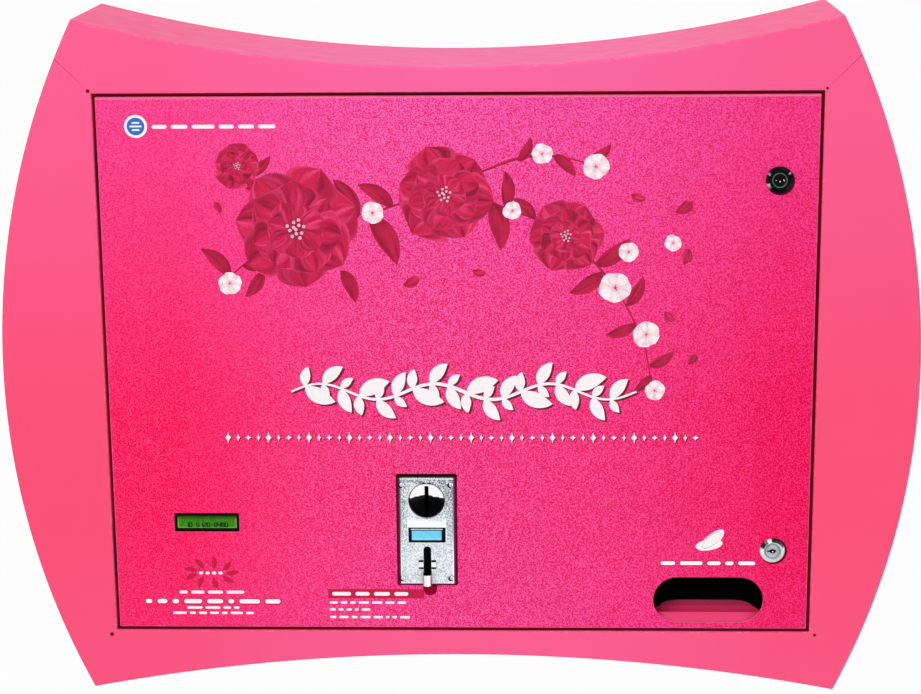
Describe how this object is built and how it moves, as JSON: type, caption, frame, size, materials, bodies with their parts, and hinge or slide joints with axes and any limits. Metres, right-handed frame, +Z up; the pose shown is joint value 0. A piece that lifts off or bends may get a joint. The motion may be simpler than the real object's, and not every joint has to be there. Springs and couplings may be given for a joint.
{
  "type": "sanitary napkin vending machine",
  "caption": "Wall-hung napkin vending cabinet: curved folded surround, inset locking door with coin unit and display, wire vend coils, drop chute and collection tray.",
  "frame": {"origin": "middle of the wall face, level with the middle of the door", "axes": "+Y into the wall, so the door faces -Y; +X to the right of someone facing it; +Z up"},
  "size_m": [1.0138, 0.2006, 0.7635],
  "materials": {
    "surround_paint": "satin pink powder coat",
    "cabinet_paint": "satin pink powder coat",
    "door_paint": "printed pink door skin, satin, fine grain",
    "inside_paint": "satin pink powder coat",
    "bare_steel": "galvanised sheet",
    "spring_wire": "bright drawn wire",
    "cast_plate": "hammered silver casting",
    "bright_chrome": "polished chrome plate",
    "lock_black": "black gloss",
    "lock_steel": "satin nickel",
    "black_plastic": "moulded black",
    "grey_plastic": "moulded grey",
    "white_plastic": "moulded white",
    "black_sheet": "matt black coat",
    "lcd_green": "lit green display",
    "display_cyan": "lit pale blue display",
    "circuit_board": "green solder mask",
    "rubber": "moulded"
  },
  "bodies": {
    "cabinet": {"surround_top": "surround_paint", "surround_bottom": "surround_paint", "surround_left": "surround_paint", "surround_right": "surround_paint", "cabinet_wrap": "cabinet_paint", "back_panel": "inside_paint", "collection_tray": "inside_paint", "upper_hinge_frame_leaf": "bare_steel", "upper_hinge_pin": "bare_steel", "upper_lock_keeper": "bare_steel", "lower_hinge_frame_leaf": "bare_steel", "lower_hinge_pin": "bare_steel", "lower_lock_keeper": "bare_steel", "mains_switch": "black_plastic", "motor_bulkhead": "bare_steel", "power_supply": "bare_steel", "switch_bracket": "bare_steel", "shelf_1": "bare_steel", "gear_motor_1": "grey_plastic", "shelf_2": "bare_steel", "gear_motor_2": "grey_plastic", "shelf_3": "bare_steel", "gear_motor_3": "grey_plastic", "shelf_4": "bare_steel", "gear_motor_4": "grey_plastic", "drop_chute": "black_sheet", "controller_board": "circuit_board", "wall_grommet": "rubber"},
    "door": {"door_panel": "door_paint", "door_stiffener_1": "door_paint", "door_stiffener_2": "door_paint", "upper_hinge_door_leaf": "bare_steel", "lower_hinge_door_leaf": "bare_steel", "upper_lock_body": "lock_black", "lower_lock_body": "bright_chrome", "upper_lock_nut": "bare_steel", "lower_lock_nut": "bare_steel", "coin_plate": "cast_plate", "coin_acceptor_body": "black_plastic", "coin_display_frame": "lock_black", "coin_display_lens": "display_cyan", "coin_return_cup": "cast_plate", "lcd_module": "black_plastic", "lcd_glass": "lcd_green", "cash_box_cage": "bare_steel"},
    "upper_lock": {"upper_lock_plug": "lock_black", "upper_lock_cam": "bare_steel"},
    "lower_lock": {"lower_lock_plug": "lock_steel", "lower_lock_cam": "bare_steel"},
    "coin_button": {"coin_entry_disc": "bright_chrome"},
    "cash_drawer": {"cash_box": "bare_steel"},
    "rocker": {"mains_rocker": "lock_black"},
    "coil_drive_1": {"vend_coil_1": "spring_wire", "coil_hub_1": "white_plastic"},
    "coil_drive_2": {"vend_coil_2": "spring_wire", "coil_hub_2": "white_plastic"},
    "coil_drive_3": {"vend_coil_3": "spring_wire", "coil_hub_3": "white_plastic"},
    "coil_drive_4": {"vend_coil_4": "spring_wire", "coil_hub_4": "white_plastic"}
  },
  "joints": [
    {"name": "door_hinge", "type": "hinge", "parent": "cabinet", "child": "door", "pos_m": [-0.384, -0.178, 0], "axis": [0, 0, -1], "range_deg": [0, 100]},
    {"name": "upper_lock_turn", "type": "hinge", "parent": "door", "child": "upper_lock", "pos_m": [0.3475, -0.16, 0.2106], "axis": [0, 1, 0], "range_deg": [0, 90]},
    {"name": "lower_lock_turn", "type": "hinge", "parent": "door", "child": "lower_lock", "pos_m": [0.3496, -0.16, -0.2096], "axis": [0, 1, 0], "range_deg": [0, 90]},
    {"name": "coin_button_push", "type": "slide", "parent": "door", "child": "coin_button", "axis": [0, 1, 0], "range_m": [0, 0.003], "stiffness_N_per_m": 300, "springref_m": -0.002},
    {"name": "cash_box_slide", "type": "slide", "parent": "door", "child": "cash_drawer", "axis": [-1, 0, 0], "range_m": [0, 0.06]},
    {"name": "mains_rocker_tilt", "type": "hinge", "parent": "cabinet", "child": "rocker", "pos_m": [-0.25, -0.0393, -0.205], "axis": [-1, 0, 0], "range_deg": [0, 24]},
    {"name": "coil_1_spin", "type": "hinge", "parent": "cabinet", "child": "coil_drive_1", "pos_m": [0, -0.072, -0.0718], "axis": [1, 0, 0], "continuous": true},
    {"name": "coil_2_spin", "type": "hinge", "parent": "cabinet", "child": "coil_drive_2", "pos_m": [0, -0.072, 0.0322], "axis": [1, 0, 0], "continuous": true},
    {"name": "coil_3_spin", "type": "hinge", "parent": "cabinet", "child": "coil_drive_3", "pos_m": [0, -0.072, 0.1362], "axis": [1, 0, 0], "continuous": true},
    {"name": "coil_4_spin", "type": "hinge", "parent": "cabinet", "child": "coil_drive_4", "pos_m": [0, -0.072, 0.2402], "axis": [1, 0, 0], "continuous": true}
  ]
}
